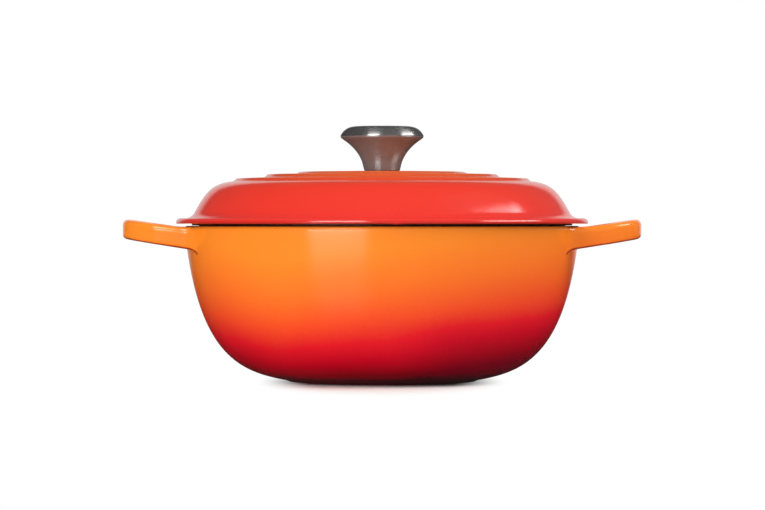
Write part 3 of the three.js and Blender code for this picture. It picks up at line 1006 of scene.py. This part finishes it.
def make_spring_washer():
    """Split washer: a rounded section carried round almost a full turn, its two ends cut on a slant."""
    middle_radius = (spring_radius + BORE_RADIUS) / 2
    half_width = (spring_radius - BORE_RADIUS) / 2
    loop = oblong(half_width, SPRING_THICK / 2, SPRING_SQUARENESS, 0, 360, FINE_STEPS)
    section = evenly(loop, SPRING_POINTS + 1)[None, :-1]
    slant = np.tan(np.radians(SPRING_SLANT)) * section[..., 1] / middle_radius
    gap = SPRING_GAP / 2 / middle_radius
    turn = np.linspace(0, 1, SPRING_ROWS)[:, None]
    angle = np.pi / 2 + gap - slant + turn * (2 * np.pi - 2 * gap)
    radius = middle_radius + section[..., 0]
    height = head_top + SPRING_THICK / 2 + section[..., 1] + 0 * angle
    points = np.stack([radius * np.cos(angle), radius * np.sin(angle), height], axis=-1)
    faces = [face[::-1] for face in tube_faces(len(angle), section.shape[1])]
    add_piece(
        "split_washer", points.reshape(-1, 3), faces, [plated_steel], "lid",
        ["spring_washer"])


make_bowl()
make_handle("handle_right", 1)
make_handle("handle_left", -1)
make_lid()
make_stem()
make_cap()
make_bush()
make_screw()
make_plain_washer()
make_spring_washer()


# Floor, light and camera

FLOOR_HALF = 6.0
FLOOR_DROP = 0.0002
SHADOW_START = 0.14
SHADOW_END = 0.25
SHADOW_SLIMNESS = 2.9
FLOOR_TONE = (0.80, 0.86, 0.84, 1.0)
ROOM = 0.46
MIRRORED_ROOM = 0.11
MIRRORED_RIGHT = 0.7
MIRRORED_FLOOR = 0.015
MIRRORED_SWEEP = 0.62
MIRRORED_FRONT = 0.45
STRIP_SOFTNESS = 0.045
WHITE = (1.0, 1.0, 1.0, 1.0)
LAMP_TARGET = (0, 0, 0.08)
SENSOR_WIDTH = 36
LENS = 180.9
CAMERA_PLACE = (0.0003, -2.6, 0.108)
CAMERA_AIM = (0.0003, 0, 0.0853)

# Spreads of the mirrored room over how far a direction points up, or back: two limits and the values there
ABOVE_HORIZON = (-0.08, -0.01, 0.0, 1.0)
BELOW_HORIZON = (-0.06, -0.02, 1.0, 0.0)
SWEEP_BACK = (0.85, 0.93, 0.0, 1.0)
FRONT_BACK = (-0.85, -0.40, 1.0, 0.0)
FRONT_UP = (0.25, 0.45, 1.0, 0.0)
TABLE_NEAR = (-0.75, -0.50, 0.0, 0.5)
TABLE_MIDDLE = (-0.45, -0.25, 0.0, 0.5)
TABLE_FAR = (-0.36, -0.17, 0.0, 1.8)
TABLE_EDGE = (-0.16, -0.10, 0.0, 11.0)
LEFT_START = (0.36, 0.46, 0.0, 13.0)
LEFT_TOP = (0.60, 0.76, 1.0, 0.0)
RIGHT_START = (0.36, 0.48, 0.0, 11.0)
RIGHT_TOP = (0.59, 0.71, 1.0, 0.0)
RIGHT_TOP_SLOPE = 0.25


def make_floor():
    """Pale floor. Near the foot it takes the shadow; further out the eye sees it plain white.

    The enamel in the photo mirrors no floor, so this one stays out of reflections.
    """
    material, shader = new_finish("pale_floor")
    place = shader.place()
    across = SHADOW_SLIMNESS * shader.axis(place, "X")
    along = shader.axis(place, "Y")
    away = (across * across + along * along) ** 0.5
    seen = shader.ray("Camera") + shader.ray("Glossy") + shader.ray("Transmission")
    plain = shader.spread(away, SHADOW_START, SHADOW_END, 0.0, 1.0) * seen
    matt = shader.node("BsdfDiffuse", {}, {"Color": FLOOR_TONE})
    white = shader.node("Emission", {}, {"Color": WHITE, "Strength": 1.0})
    seen_floor = shader.node("MixShader", {}, {0: plain, 1: matt, 2: white})
    shader.node("OutputMaterial", {}, {0: seen_floor})
    mesh = bpy.data.meshes.new("floor")
    corners = FLOOR_HALF * np.array([(-1, -1), (1, -1), (1, 1), (-1, 1)])
    mesh.from_pydata([(x, y, -FLOOR_DROP) for x, y in corners.tolist()], [], [(0, 1, 2, 3)])
    mesh.materials.append(material)
    floor = bpy.data.objects.new("floor", mesh)
    floor.visible_glossy = False
    bpy.context.scene.collection.objects.link(floor)


def strip(shader, toward, azimuth, half_angle, lean):
    """How far directions lie within a strip of the room at a bearing right of the camera.

    The strip leans to its right by a share of the height.
    """
    turn = radians(azimuth)
    across = shader.axis(toward, "X")
    along = shader.axis(toward, "Y")
    ahead = sin(turn) * across - cos(turn) * along
    aside = cos(turn) * across + sin(turn) * along - lean * shader.axis(toward, "Z")
    outside = aside.math("ABSOLUTE", aside, 0.0) - tan(radians(half_angle)) * ahead
    return shader.spread(outside, -STRIP_SOFTNESS, STRIP_SOFTNESS, 1.0, 0.0)


def mirrored_studio(shader, toward):
    """What mirrors see: a dim room, lighter at the right and pale in front and behind, and two softboxes.

    Both softboxes start well above the horizon, so that the lid keeps its colour when it is seen from the
    sides. The left one glows on the table too, most of all at the table's far edge.
    """
    up = shader.axis(toward, "Z")
    above = shader.spread(up, *ABOVE_HORIZON)
    depth = shader.axis(toward, "Y")
    behind = shader.spread(depth, *SWEEP_BACK)
    front = shader.spread(depth, *FRONT_BACK) * shader.spread(up, *FRONT_UP)
    sideways = shader.axis(toward, "X")
    room = MIRRORED_FLOOR + above * (MIRRORED_ROOM * (1 + MIRRORED_RIGHT * sideways) - MIRRORED_FLOOR)
    room = room + above * (MIRRORED_SWEEP * behind + MIRRORED_FRONT * front)
    table = shader.spread(up, *TABLE_NEAR) + shader.spread(up, *TABLE_MIDDLE)
    table = table + shader.spread(up, *TABLE_FAR) + shader.spread(up, *TABLE_EDGE)
    left = table * shader.spread(up, *BELOW_HORIZON) + shader.spread(up, *LEFT_START)
    left = left * shader.spread(up, *LEFT_TOP)
    left = left * strip(shader, toward, azimuth=-26, half_angle=16.5, lean=0.0)
    right = shader.spread(up, *RIGHT_START) * shader.spread(up + RIGHT_TOP_SLOPE * depth, *RIGHT_TOP)
    right = right * strip(shader, toward, azimuth=76, half_angle=22, lean=0.33)
    return room + left + right


def make_world():
    """White to the eye, soft light all round, and a studio of its own in mirrors."""
    world = bpy.data.worlds.new("studio")
    bpy.context.scene.world = world
    shader = Shader(world)
    toward = shader.node("TexCoord", {}, {}, "Generated")
    mirrors = shader.ray("Glossy") + shader.ray("Transmission")
    strength = ROOM + (1 - ROOM) * shader.ray("Camera") + mirrors * (mirrored_studio(shader, toward) - ROOM)
    sky = shader.node("Background", {}, {"Color": WHITE, "Strength": strength})
    shader.node("OutputWorld", {}, {0: sky})


def add_lamp(name, azimuth, elevation, distance, width, height, level):
    """Rectangular lamp facing the pot, placed by its bearing right of the camera and its elevation.

    Its power is pi * area * level, which makes its face as bright as level times white. Mirrors see the
    world's softboxes in its place.
    """
    turn = radians(azimuth)
    climb = radians(elevation)
    bearing = Vector((sin(turn) * cos(climb), -cos(turn) * cos(climb), sin(climb)))
    light = bpy.data.lights.new(name, "AREA")
    light.shape = "RECTANGLE"
    light.size = width
    light.size_y = height
    light.energy = np.pi * width * height * level
    lamp = bpy.data.objects.new(name, light)
    lamp.location = Vector(LAMP_TARGET) + distance * bearing
    lamp.rotation_euler = (-bearing).to_track_quat("-Z", "Y").to_euler()
    lamp.visible_camera = False
    lamp.visible_glossy = False
    bpy.context.scene.collection.objects.link(lamp)


def make_camera():
    """Long lens at the height of the rim, looking half a degree down."""
    camera = bpy.data.cameras.new("camera")
    camera.sensor_width = SENSOR_WIDTH
    camera.lens = LENS
    made = bpy.data.objects.new("camera", camera)
    made.location = CAMERA_PLACE
    sight = Vector(CAMERA_AIM) - Vector(CAMERA_PLACE)
    made.rotation_euler = sight.to_track_quat("-Z", "Y").to_euler()
    bpy.context.scene.collection.objects.link(made)
    bpy.context.scene.camera = made


make_floor()
make_world()
add_lamp("left_softbox", azimuth=-34, elevation=18, distance=1.6, width=0.95, height=1.0, level=4.3)
add_lamp("right_softbox", azimuth=82, elevation=44, distance=1.6, width=1.15, height=1.0, level=3.8)
add_lamp("top_fill", azimuth=-20, elevation=72, distance=1.8, width=2.2, height=1.8, level=0.45)
make_camera()
bpy.context.scene.view_settings.view_transform = "Standard"
